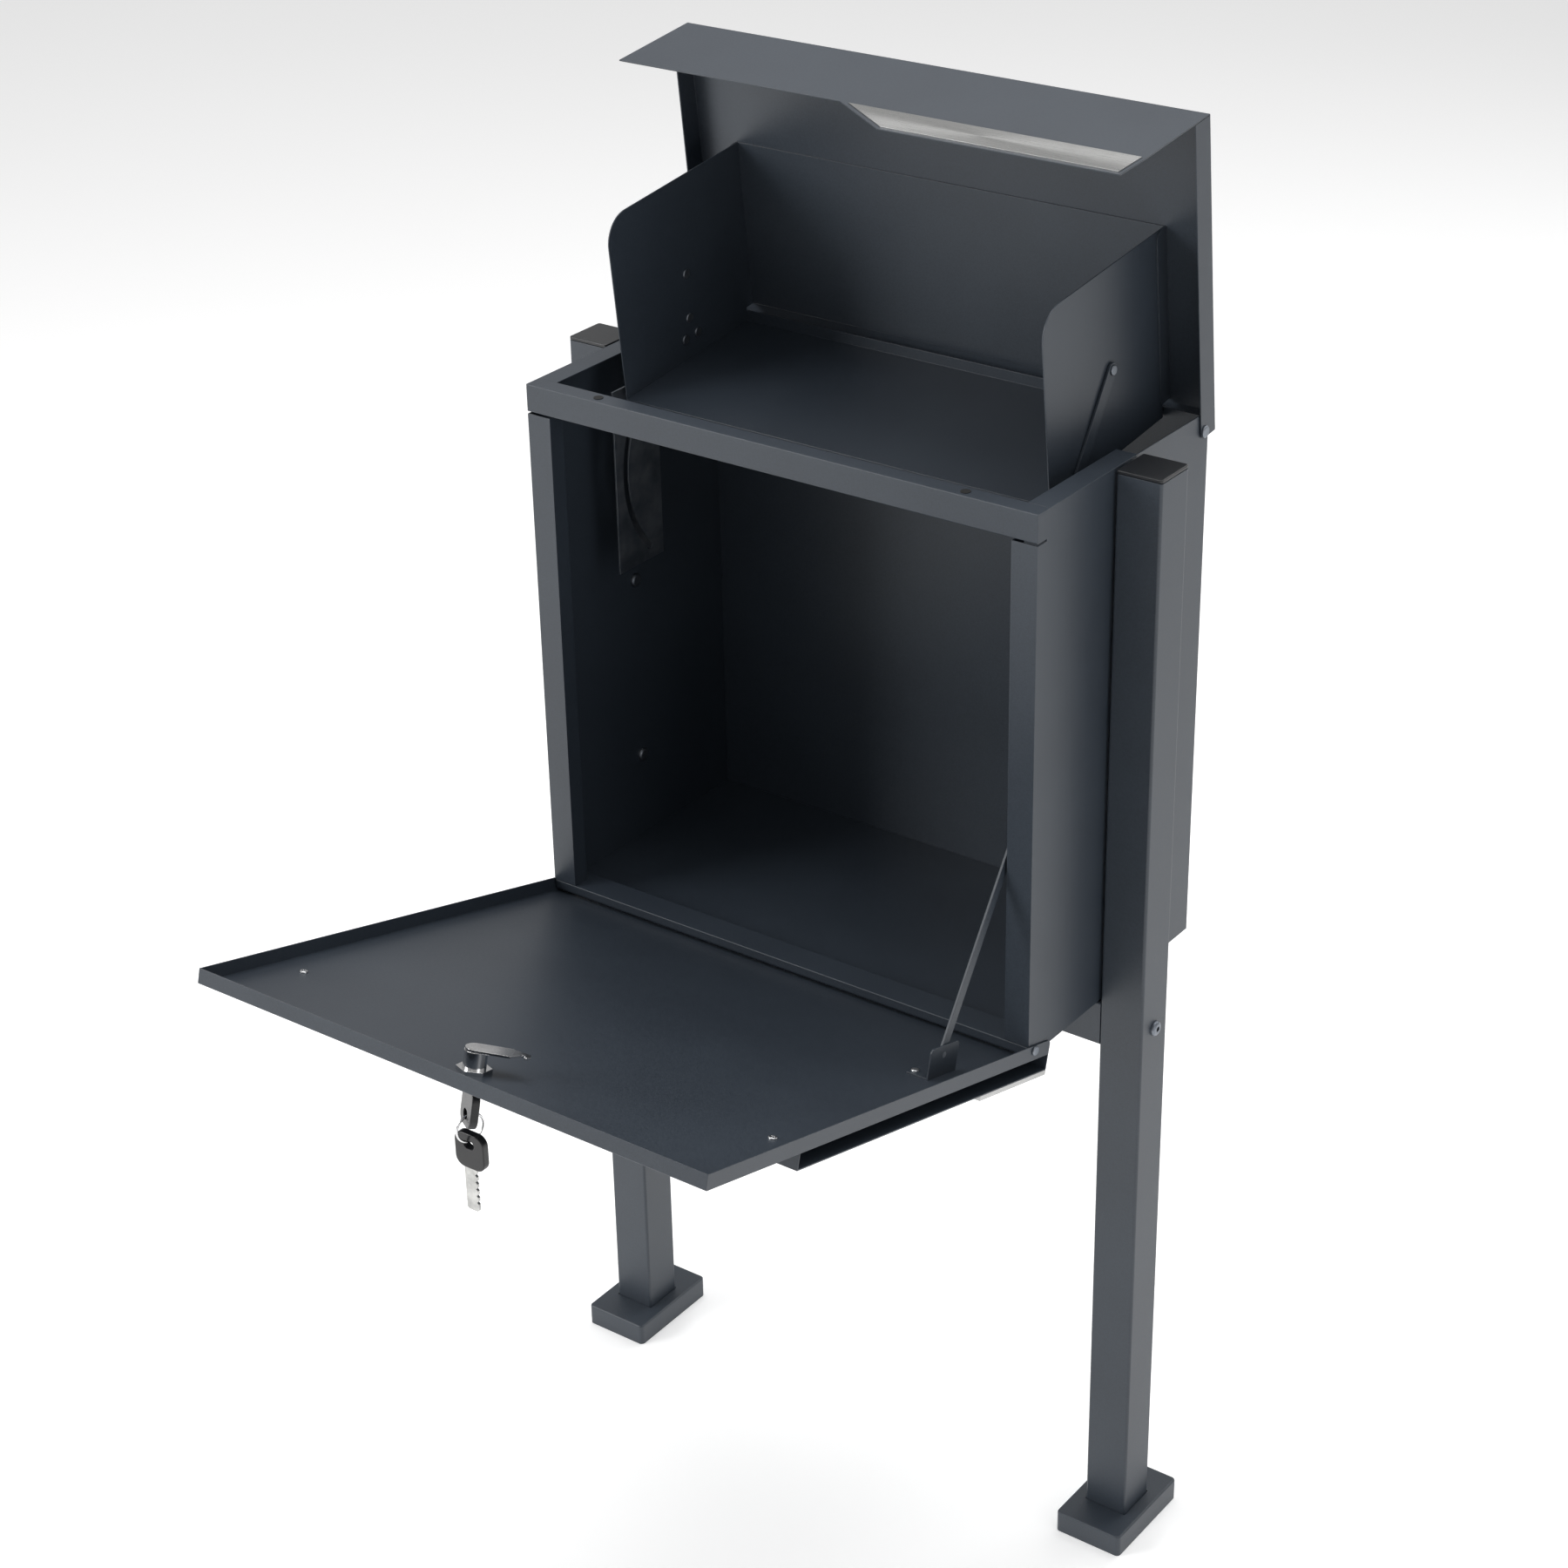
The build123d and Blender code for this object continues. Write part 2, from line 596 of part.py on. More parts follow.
def arm_guide():
    """Right-hand Z bracket inside the box, with the curved slot for the arm's pin."""
    x = (ARM_GUIDE_X, ARM_GUIDE_X + ARM_GUIDE_T)
    y = (SLOT_CENTRE[0] - SLOT_R - 13, ARM_B[0] + 21)
    z_mid = SLOT_CENTRE[1]
    z = (z_mid + SLOT_R * sin(radians(SLOT_START + LID_SWING)) - 12,
         z_mid + SLOT_R * sin(radians(SLOT_START)) + 12)
    guide = slab(x, y, z)
    guide += slab((x[0], INSIDE), (y[1] - ARM_GUIDE_T, y[1]), z)
    guide += slab((INSIDE - ARM_GUIDE_T, INSIDE), (y[1] - ARM_GUIDE_T, y[1] + 13), z)
    slot = arc_band(SLOT_CENTRE, SLOT_R, PIN_R + PIN_PLAY, SLOT_START, LID_SWING)
    guide -= extrude(Plane.YZ.offset(x[0] - 1) * slot, amount=ARM_GUIDE_T + 2)
    return guide


# ---------------------------------------------------------------- door
def door_pan():
    """Door sheet with a rim all round that wraps the box."""
    face = (DOOR_FACE - SHEET, DOOR_FACE)
    rim = (DOOR_FACE - DOOR_RIM, DOOR_FACE - SHEET / 2)
    pan = door_block((-DOOR_HALF_W, DOOR_HALF_W), (-DOOR_TAIL, DOOR_TOP), face)
    for side in (-1, 1):
        x = span(side * (DOOR_HALF_W - SHEET), side * DOOR_HALF_W)
        flange = door_block(x, (-DOOR_TAIL, DOOR_TOP), rim)
        corner = flange.edges().filter_by(Axis.X).sort_by_distance(
            Vector(0, *on_door(-DOOR_TAIL, rim[0])))
        corner = ShapeList(e for e in corner if e.center().Z < 0 and e.center().Y > DOOR_PIVOT[0])
        pan += fillet(corner, 4.0)
    pan += door_block((-DOOR_HALF_W, DOOR_HALF_W), (DOOR_TOP - SHEET, DOOR_TOP), rim)
    pan += door_block((-DOOR_HALF_W, DOOR_HALF_W), (-DOOR_TAIL, -DOOR_TAIL + SHEET),
                      (DOOR_TAIL_STRIP, DOOR_FACE - SHEET / 2))
    for side in (-1, 1):
        start = (side * (DOOR_HALF_W - SHEET - 1), *DOOR_PIVOT)
        pan -= rod(start, OUT[side], RIVET_R + HINGE_CLEARANCE, SHEET + 2)
    front = (0, -1, 0)
    for x, up in PANEL_SCREWS:
        pan -= rod((x, *on_door(up, DOOR_FACE - SHEET - 1)), front, 2.5, SHEET + 2)
    pan -= rod((LOCK_X, *on_door(LOCK_S, DOOR_FACE - SHEET - 1)), front, LOCK_BARREL_R + 0.1, SHEET + 2)
    pan -= rod((BRACKET_SCREW[0], *on_door(BRACKET_SCREW[1], DOOR_FACE - SHEET - 1)),
               front, 2.0, SHEET + 2)
    return soften(pan, 0.9, lambda e: e.center().Y < DOOR_PIVOT[0] - DOOR_FACE + 0.01)


def stepped_top(up_shift=0.0):
    """(x, z) points along the front panel's stepped upper edge, left to right."""
    left, right = (DOOR_PIVOT[1] + up + up_shift for up in PANEL_TOP)
    return [(-DOOR_HALF_W, left), (PANEL_STEP_X[0], left), (PANEL_STEP_X[1], right),
            (DOOR_HALF_W, right)]


def door_front_panel():
    """Outer panel held off the door sheet by folds along its upper and lower edges."""
    back = (on_door(0, DOOR_FACE)[0], on_door(0, PANEL_FACE)[0])
    bottom = DOOR_PIVOT[1] - DOOR_TAIL
    top = stepped_top()
    outline = [(-DOOR_HALF_W, bottom), *top, (DOOR_HALF_W, bottom)]
    panel = plate_y(outline, (back[1], back[1] + SHEET))
    folds = [*top, *reversed([(x, z - SHEET) for x, z in top])]
    panel += plate_y(folds, (back[1], back[0]))
    panel += door_block((-DOOR_HALF_W, DOOR_HALF_W), (-DOOR_TAIL, -DOOR_TAIL + SHEET),
                        (DOOR_FACE, PANEL_FACE - SHEET / 2))
    for x, up in PANEL_SCREWS:
        boss = rod((x, *on_door(up, DOOR_FACE)), (0, -1, 0), 4.0, PANEL_FACE - DOOR_FACE - 0.5)
        panel += boss - rod((x, *on_door(up, DOOR_FACE)), (0, -1, 0), 2.0, 9)
    return soften(panel, 0.9, lambda e: e.center().Y < back[1] + 0.01 and e.center().Z < bottom + 0.01)


def door_trim():
    """Shallow brushed steel channel across the foot of the front panel."""
    bottom, top = DOOR_PIVOT[1] - DOOR_TAIL, DOOR_PIVOT[1] + TRIM_TOP
    y = (on_door(0, TRIM_FACE)[0], on_door(0, PANEL_FACE)[0])
    trim = slab((-DOOR_HALF_W, DOOR_HALF_W), y, (bottom, top))
    trim -= slab((-DOOR_HALF_W + SHEET, DOOR_HALF_W - SHEET), (y[0] + SHEET, y[1] + SHEET),
                 (bottom + SHEET, top - SHEET))
    return trim


def panel_screws():
    """Screws through the door sheet into the front panel's bosses."""
    screws = []
    for x, up in PANEL_SCREWS:
        start = (x, *on_door(up, DOOR_FACE - SHEET))
        screw = rod(start, (0, -1, 0), 1.9, 8) + button_head(start, (0, 1, 0), 3.6, 1.5)
        recess = Pos(x, *on_door(up, DOOR_FACE - SHEET - 1.5)) * Box(3.2, 1.2, 0.8)
        recess += Pos(x, *on_door(up, DOOR_FACE - SHEET - 1.5)) * Box(0.8, 1.2, 3.2)
        screws.append(screw - recess)
    return screws


# ---------------------------------------------------------------- door stay
def stay_bracket():
    """Angle bracket screwed to the inside of the door."""
    seat = DOOR_FACE - SHEET
    bracket = door_block(BRACKET_X, BRACKET_S, (seat - BRACKET_T, seat))
    upright = door_block((BRACKET_X[1] - BRACKET_T, BRACKET_X[1]), BRACKET_S,
                         (seat - BRACKET_H, seat))
    corners = upright.edges().filter_by(Axis.X).sort_by(Axis.Y)[-2:]
    bracket += fillet(corners, 4.0)
    bracket -= rod((BRACKET_X[1] - 3, *on_door(*STAY_RIVET)), OUT[1], RIVET_R, 5)
    hole = (BRACKET_SCREW[0], *on_door(BRACKET_SCREW[1], seat - BRACKET_T - 1))
    return bracket - rod(hole, (0, -1, 0), 2.0, BRACKET_T + 2)


def stay_bracket_screw():
    """Countersunk-style screw that holds the bracket."""
    seat = DOOR_FACE - SHEET
    start = (BRACKET_SCREW[0], *on_door(BRACKET_SCREW[1], seat - BRACKET_T))
    screw = rod(start, (0, -1, 0), 2.0, BRACKET_T + SHEET + 1.5)
    return screw + button_head(start, (0, 1, 0), 3.6, 1.3)


def stay_rivet():
    """Shouldered rivet between the bracket and the stay arm, flush outside to pass the stile."""
    spot = on_door(*STAY_RIVET)
    pin = rod((STAY_X[0] - 0.2, *spot), OUT[1], RIVET_R, BRACKET_X[1] + 0.2 - STAY_X[0])
    pin += rod((STAY_X[1] + 0.15, *spot), OUT[1], 4.0, BRACKET_X[1] - BRACKET_T - STAY_X[1] - 0.15)
    return pin + button_head((STAY_X[0] - 0.2, *spot), OUT[-1], 3.8, 1.2)


STAY_A = swung_point(on_door(*STAY_RIVET), DOOR_PIVOT, DOOR_SWING)


def stay_end(share):
    """(y, z) of the stay's guided end, from 0 with the door down to 1 with it shut."""
    foot = swung_point(STAY_A, DOOR_PIVOT, -DOOR_SWING * share)
    angle = radians(STAY_DIRECTION + STAY_TURN * share)
    return foot[0] + STAY_LENGTH * cos(angle), foot[1] + STAY_LENGTH * sin(angle)


def door_stay_arm():
    """Flat bar from the door bracket to the slotted guide."""
    bar = link_bar(STAY_A, stay_end(0), STAY_W, STAY_X)
    bar -= rod((STAY_X[0] - 1, *STAY_A), OUT[1], RIVET_R + PIVOT_CLEARANCE, 4)
    return bar - rod((STAY_X[0] - 1, *stay_end(0)), OUT[1], PIN_R, 4)


def stay_pin():
    """Headed pin in the stay's upper end."""
    guide_out = STAY_GUIDE_X + STAY_GUIDE_T
    pin = rod((STAY_X[0], *stay_end(0)), OUT[1], PIN_R, guide_out + 0.8 - STAY_X[0])
    return pin + button_head((guide_out + 0.4, *stay_end(0)), OUT[1], 6.5, 1.6)


def door_stay_guide():
    """Leaning Z bracket on the right side panel, with the slot for the stay's pin."""
    low, high, middle = stay_end(0), stay_end(1), stay_end(0.5)
    length = hypot(high[0] - low[0], high[1] - low[1])
    angle = atan2(high[1] - low[1], high[0] - low[0])
    across = (-sin(angle), cos(angle))
    bulge = (middle[0] - low[0]) * across[0] + (middle[1] - low[1]) * across[1]
    centre = ((low[0] + high[0]) / 2 + across[0] * bulge / 2,
              (low[1] + high[1]) / 2 + across[1] * bulge / 2)
    width = 2 * (PIN_R + STAY_SLOT_PLAY)
    turn = Pos(0, *centre) * Rot(X=degrees(angle) - 90)
    x = (STAY_GUIDE_X, STAY_GUIDE_X + STAY_GUIDE_T)
    half_y, half_z = 13.0, length / 2 + 13
    guide = slab(x, (-half_y, half_y), (-half_z, half_z))
    guide += slab((x[0], INSIDE), (half_y - STAY_GUIDE_T, half_y), (-half_z, half_z))
    guide += slab((INSIDE - STAY_GUIDE_T, INSIDE), (half_y - STAY_GUIDE_T, half_y + 9),
                  (-half_z, half_z))
    slot = link_bar((0, -length / 2), (0, length / 2), width, (x[0] - 1, x[1] + 1))
    return turn * (guide - slot)


# ---------------------------------------------------------------- lock and keys
def door_point(x, up, outward):
    """World-ready point on the shut door."""
    return (x, *on_door(up, outward))


def lock_barrel():
    """Fixed lock body with a round flange on the door's outer face."""
    front = (0, -1, 0)
    body = rod(door_point(LOCK_X, LOCK_S, LOCK_IN + 0.3), front, LOCK_BARREL_R,
               DOOR_FACE - LOCK_IN - 0.3)
    head = rod(door_point(LOCK_X, LOCK_S, DOOR_FACE), front, LOCK_HEAD_R, LOCK_FACE - DOOR_FACE)
    rim = head.edges().filter_by(GeomType.CIRCLE).sort_by(Axis.Y)[0]
    body += fillet(rim, 1.2)
    bore = rod(door_point(LOCK_X, LOCK_S, LOCK_IN - 1), front, LOCK_PLUG_R + 0.05, 30)
    return body - bore


def lock_nut():
    """Hexagon nut that clamps the barrel to the door sheet."""
    seat = DOOR_FACE - SHEET
    plane = Plane(origin=door_point(LOCK_X, LOCK_S, seat), x_dir=(1, 0, 0), z_dir=(0, 1, 0))
    hexagon = RegularPolygon(NUT_FLATS / 2, 6, major_radius=False, rotation=NUT_TURN)
    chamfer_cone = Cone(18.0, NUT_FLATS / 2 + 0.9, NUT_T + 0.6, align=(Align.CENTER, Align.CENTER, Align.MIN))
    nut = extrude(plane * hexagon, amount=NUT_T) & (plane * chamfer_cone)
    return nut - rod(door_point(LOCK_X, LOCK_S, seat + 1), (0, 1, 0), LOCK_BARREL_R + 0.05, NUT_T + 2)


def keyway_plane(outward, turn):
    """Plane across the lock's axis whose x direction is a key blade's width."""
    width = (cos(radians(CAM_ANGLE + turn)), 0, sin(radians(CAM_ANGLE + turn)))
    return Plane(origin=door_point(LOCK_X, LOCK_S, outward), x_dir=width, z_dir=(0, -1, 0))


def lock_plug():
    """Turning plug with a keyway and a square end for the cam."""
    plug = rod(door_point(LOCK_X, LOCK_S, LOCK_IN), (0, -1, 0), LOCK_PLUG_R, LOCK_FACE - LOCK_IN + 0.4)
    keyway = keyway_plane(LOCK_IN + 2, KEY_TURN) * Box(
        KEY_BLADE[0] + 0.6, KEY_BLADE[1] + 0.6, 30, align=(Align.CENTER, Align.CENTER, Align.MIN))
    return plug + plug_square(0, 0) - keyway


def lock_cam():
    """Flat cam with a round tail and a hooked tip."""
    half = LOCK_BARREL_R - 0.6
    tip = CAM_LENGTH
    bar = [(0, -half), (27, -half), (34, -4.5), (tip - 1, -1.5), (tip, 3), (tip - 2.5, 6),
           (tip - 4.8, 4.6), (tip - 4.4, 2.2), (tip - 7, 1.2), (31.5, 4), (27, half), (0, half)]
    shape = Circle(half) + make_face(Polyline(*bar, close=True))
    plane = Plane(origin=door_point(LOCK_X, LOCK_S, LOCK_IN), z_dir=(0, 1, 0),
                  x_dir=(cos(radians(CAM_ANGLE)), 0, sin(radians(CAM_ANGLE))))
    cam = extrude(plane * mirror(shape, about=Plane.XZ), amount=CAM_T)
    return cam - plug_square(0.02, 1)


def plug_square(play, spare):
    """Square end of the plug, or the hole for it."""
    plane = Plane(origin=door_point(LOCK_X, LOCK_S, LOCK_IN - CAM_T - spare), z_dir=(0, -1, 0))
    side = 8 + 2 * play
    return plane * Rot(Z=20) * Box(side, side, CAM_T + 2 * spare,
                                   align=(Align.CENTER, Align.CENTER, Align.MIN))


def key_blade_shape(length):
    """Blade in its own frame: width along x, thickness along y, tip towards -z."""
    blade = Pos(0, 0, -length / 2) * Box(KEY_BLADE[0], KEY_BLADE[1], length)
    for side in (-1, 1):
        blade -= Pos(side * KEY_BLADE[0] / 2, 0, -length) * Rot(Y=45) * Box(2.2, 4, 2.2)
    count = int((length - 6) / 6.2)
    for i in range(count):
        cut = Pos(KEY_BLADE[0] / 2 + 0.5, 0, -6 - i * 6.2) * Rot(Y=45) * Box(3.0, 4, 3.0)
        blade -= cut
    groove = Pos(-1.5, KEY_BLADE[1] / 2, -length / 2) * Box(1.4, 0.9, length)
    return blade - groove


def key_head_shape():
    """Plastic head above the blade's shoulder, with a slot for the ring."""
    w, h, t = KEY_HEAD
    outline = fillet(Rectangle(w, h).vertices(), 8.5)
    head = extrude(Plane.XZ * Pos(KEY_HEAD_SHIFT, h / 2) * outline, amount=t / 2, both=True)
    rims = head.edges().filter_by(lambda e: abs(abs(e.center().Y) - t / 2) < 0.01)
    head = fillet(rims, 1.0)
    slot = extrude(SlotOverall(*KEY_HOLE), amount=t, both=True)
    return head - Pos(KEY_HEAD_SHIFT, 0, h - KEY_HOLE_DROP) * Rot(X=90) * slot


def key_frame():
    """Where the key's shoulder sits on the shut door: z along the key, out of the door."""
    return keyway_plane(LOCK_FACE + KEY_OUT, KEY_TURN)


def key_blade():
    """Nickel blade of the key that is in the lock."""
    return key_frame().location * key_blade_shape(KEY_LENGTHS[0])


def key_head():
    """Plastic head of the key that is in the lock."""
    return key_frame().location * key_head_shape()


def head_point(outward):
    """A point on the fitted key's head, past its shoulder, with the door down."""
    frame = key_frame()
    spot = frame.origin + frame.z_dir * outward + frame.x_dir * KEY_HEAD_SHIFT
    return Vector(spot.X, *swung_point((spot.Y, spot.Z), DOOR_PIVOT, DOOR_SWING))


RING_TOP = head_point(KEY_HEAD[1] - KEY_HOLE_DROP + KEY_HOLE[1] / 2 - RING_WIRE - RING_SLACK)
RING_CENTRE = RING_TOP - Vector(0, 0, RING_R)


def key_ring():
    """Wire ring that hangs in the key's head."""
    ring = Torus(RING_R, RING_WIRE)
    return Pos(*RING_CENTRE) * Rot(Z=RING_AZIMUTH) * Rot(X=90) * ring


def spare_frame():
    """The spare key's frame: it hangs from the ring's lowest point, blade down."""
    wire = RING_CENTRE - Vector(0, 0, RING_R)
    drop = KEY_HEAD[1] - KEY_HOLE_DROP + KEY_HOLE[1] / 2 - RING_WIRE - 0.7
    hang = Pos(wire.X, wire.Y, wire.Z - drop) * Rot(Z=SPARE_AZIMUTH)
    return hang * Pos(-KEY_HEAD_SHIFT, 0, 0)


def spare_key_blade():
    """Nickel blade of the hanging spare key."""
    return spare_frame() * key_blade_shape(KEY_LENGTHS[1])


def spare_key_head():
    """Plastic head of the hanging spare key."""
    return spare_frame() * key_head_shape()


def hinge_rivets(pivot, flange_out, head_r):
    """A rivet on each side through the box side and a hinged flange."""
    rivets = []
    for side in (-1, 1):
        shank = rod((side * INSIDE, *pivot), OUT[side], RIVET_R, flange_out + 0.3 - INSIDE)
        shank += button_head((side * INSIDE, *pivot), OUT[-side], 3.6, 1.4)
        shank += button_head((side * (flange_out + 0.25), *pivot), OUT[side], head_r, 1.6)
        rivets.append(shank)
    return rivets


def lid_open(part):
    """Swing a piece drawn on the shut lid to the raised position."""
    return swing(part, LID_PIVOT, -LID_SWING)


def door_open(part):
    """Swing a piece drawn on the shut door to the lowered position."""
    return swing(part, DOOR_PIVOT, DOOR_SWING)


def all_nodes():
    """Every named piece, in the box's own measures."""
    side = right_side_panel()
    post = right_post()
    cap = right_post_cap()
    plate = right_base_plate()
    cover = right_foot_cover()
    bar = arm_bar()
    pin = arm_pin()
    guide = arm_guide()
    arm_spot = on_lid(*ARM_PIVOT)
    nodes = {
        "right_side_panel": side, "left_side_panel": mirrored(side),
        "back_panel": back_panel(), "bottom_panel": bottom_panel(),
        "front_top_rail": front_top_rail(), "lid_bumpers": lid_bumpers(),
        "right_post": post, "left_post": mirrored(post),
        "right_post_cap": cap, "left_post_cap": mirrored(cap),
        "right_base_plate": plate, "left_base_plate": mirrored(plate),
        "right_foot_cover": cover, "left_foot_cover": mirrored(cover),
        "cross_rail": cross_rail(), "cross_rail_bolts": cross_rail_bolts(),
        "box_screws": box_screws(), "box_spacers": box_spacers(),
        "lid_hinge_rivets": hinge_rivets(LID_PIVOT, LID_HALF_W, 5.0),
        "door_hinge_rivets": hinge_rivets(DOOR_PIVOT, DOOR_HALF_W, 4.2),
        "right_arm_guide": guide, "left_arm_guide": mirrored(guide),
        "door_stay_guide": door_stay_guide(),
        "right_lid_arm": bar, "left_lid_arm": mirrored(bar),
        "right_arm_pin": pin, "left_arm_pin": mirrored(pin),
        "door_stay_arm": door_stay_arm(), "door_stay_pin": stay_pin(),
        "key_ring": key_ring(),
        "spare_key_blade": spare_key_blade(), "spare_key_head": spare_key_head(),
    }
    lid_pieces = {
        "lid_cover": lid_cover(), "handle_plate": handle_plate(),
        "tray_right_wall": tray_wall(1), "tray_left_wall": tray_wall(-1),
        "tray_back_wall": tray_back_wall(), "tray_floor": tray_floor(),
        "tray_backing_plate": tray_backing_plate(), "tray_rivets": tray_rivets(),
        "arm_pivot_rivets": [rivet(arm_spot, s, TRAY_HALF_W - SHEET, ARM_X[1] + 0.2)
                             for s in (-1, 1)],
    }
    door_pieces = {
        "door_pan": door_pan(), "door_front_panel": door_front_panel(),
        "door_trim": door_trim(), "door_panel_screws": panel_screws(),
        "stay_bracket": stay_bracket(), "stay_bracket_screw": stay_bracket_screw(),
        "stay_rivet": stay_rivet(), "lock_barrel": lock_barrel(), "lock_nut": lock_nut(),
        "lock_plug": lock_plug(), "lock_cam": lock_cam(),
        "key_blade": key_blade(), "key_head": key_head(),
    }
    for pieces, turn in ((lid_pieces, lid_open), (door_pieces, door_open)):
        for name, piece in pieces.items():
            solids = piece if isinstance(piece, list) else [piece]
            nodes[name] = [turn(solid) for solid in solids]
    return nodes


def main():
    """Write one STEP file for each node, in the part's frame."""
    os.makedirs("parts", exist_ok=True)
    to_part = Pos(0, -POST_Y, BOX_BOTTOM)
    for name, piece in all_nodes().items():
        pieces = piece if isinstance(piece, list) else [piece]
        solids = [s for p in pieces for s in (to_part * p).solids()]
        shape = solids[0] if len(solids) == 1 else Compound(children=solids)
        shape.label = name
        export_step(shape, f"parts/{name}.step")


main()
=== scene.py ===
import json
from math import cos, radians, sin

import bpy
from mathutils import Matrix, Vector

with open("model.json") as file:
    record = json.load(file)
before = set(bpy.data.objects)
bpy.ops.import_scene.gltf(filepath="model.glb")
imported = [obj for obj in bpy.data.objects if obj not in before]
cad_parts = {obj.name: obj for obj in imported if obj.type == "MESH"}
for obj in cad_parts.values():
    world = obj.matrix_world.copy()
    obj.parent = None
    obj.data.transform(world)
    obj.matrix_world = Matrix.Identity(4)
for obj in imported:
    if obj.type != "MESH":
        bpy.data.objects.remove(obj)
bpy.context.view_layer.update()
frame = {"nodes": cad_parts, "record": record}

# Radius of the rounded edges of each kind of surface, in metres; on powder coat and plastic it also sets
# the band of painted edge highlight
COAT_EDGE = 0.0006
BRUSHED_EDGE = 0.0003
METAL_EDGE = 0.0004
PLASTIC_EDGE = 0.0006
# How finely brushed metal is scratched across its grain and along it
SCRATCHES_ACROSS = 2200.0
SCRATCHES_ALONG = 18.0
FLOOR_HALF = 20.0
FLOOR_GLOW = 0.32
ROOM_GLOW = 0.42
LIGHT_TARGET = (0.0, -0.05, 0.72)
CAMERA_PLACE = (1.4277, -2.0335, 1.9661)
CAMERA_YAW, CAMERA_PITCH, CAMERA_ROLL = 36.680, 27.686, -1.2246
CAMERA_LENS = 75.89
CAMERA_SENSOR = 36.0


# ---------------------------------------------------------------- node helpers
def new_material(name):
    """Empty node material with a Principled shader wired to its output."""
    mat = bpy.data.materials.new(name)
    mat.use_nodes = True
    tree = mat.node_tree
    tree.nodes.clear()
    out = tree.nodes.new("ShaderNodeOutputMaterial")
    bsdf = tree.nodes.new("ShaderNodeBsdfPrincipled")
    tree.links.new(bsdf.outputs["BSDF"], out.inputs["Surface"])
    return mat, tree, bsdf


def coords(tree, scale=(1, 1, 1)):
    """Object coordinates, stretched along each axis."""
    tex = tree.nodes.new("ShaderNodeTexCoord")
    mapping = tree.nodes.new("ShaderNodeMapping")
    mapping.inputs["Scale"].default_value = scale
    tree.links.new(tex.outputs["Object"], mapping.inputs["Vector"])
    return mapping.outputs["Vector"]


def noise(tree, vector, scale, detail=4.0, rough=0.55):
    """Noise texture value."""
    node = tree.nodes.new("ShaderNodeTexNoise")
    node.inputs["Scale"].default_value = scale
    node.inputs["Detail"].default_value = detail
    node.inputs["Roughness"].default_value = rough
    tree.links.new(vector, node.inputs["Vector"])
    return node.outputs["Fac"]


def remap(tree, value, low, high, to_low, to_high):
    """Clamp a value to a band and stretch it to another."""
    node = tree.nodes.new("ShaderNodeMapRange")
    for name, number in (("From Min", low), ("From Max", high), ("To Min", to_low), ("To Max", to_high)):
        node.inputs[name].default_value = number
    tree.links.new(value, node.inputs["Value"])
    return node.outputs["Result"]


def maths(tree, kind, a, b):
    """One arithmetic node; each input is a socket or a number."""
    node = tree.nodes.new("ShaderNodeMath")
    node.operation = kind
    for i, item in enumerate((a, b)):
        if isinstance(item, (int, float)):
            node.inputs[i].default_value = item
        else:
            tree.links.new(item, node.inputs[i])
    return node.outputs["Value"]


def mix_colour(tree, factor, a, b):
    """Blend two colours by a value."""
    node = tree.nodes.new("ShaderNodeMix")
    node.data_type = "RGBA"
    node.inputs["A"].default_value = (*a, 1)
    node.inputs["B"].default_value = (*b, 1)
    tree.links.new(factor, node.inputs["Factor"])
    return node.outputs["Result"]


def rounded_normal(tree, radius):
    """Normal that makes sharp edges look rounded."""
    bevel = tree.nodes.new("ShaderNodeBevel")
    bevel.samples = 6
    bevel.inputs["Radius"].default_value = radius
    return bevel.outputs["Normal"]


def edge_mask(tree, rounded):
    """1 near sharp edges and 0 on flats, from the rounded normal."""
    geometry = tree.nodes.new("ShaderNodeNewGeometry")
    dot = tree.nodes.new("ShaderNodeVectorMath")
    dot.operation = "DOT_PRODUCT"
    tree.links.new(rounded, dot.inputs[0])
    tree.links.new(geometry.outputs["True Normal"], dot.inputs[1])
    return remap(tree, dot.outputs["Value"], 0.999, 0.80, 0.0, 1.0)


def bump(tree, height, strength, distance, normal):
    """Bump node over a base normal."""
    node = tree.nodes.new("ShaderNodeBump")
    node.inputs["Strength"].default_value = strength
    node.inputs["Distance"].default_value = distance
    tree.links.new(height, node.inputs["Height"])
    tree.links.new(normal, node.inputs["Normal"])
    return node.outputs["Normal"]


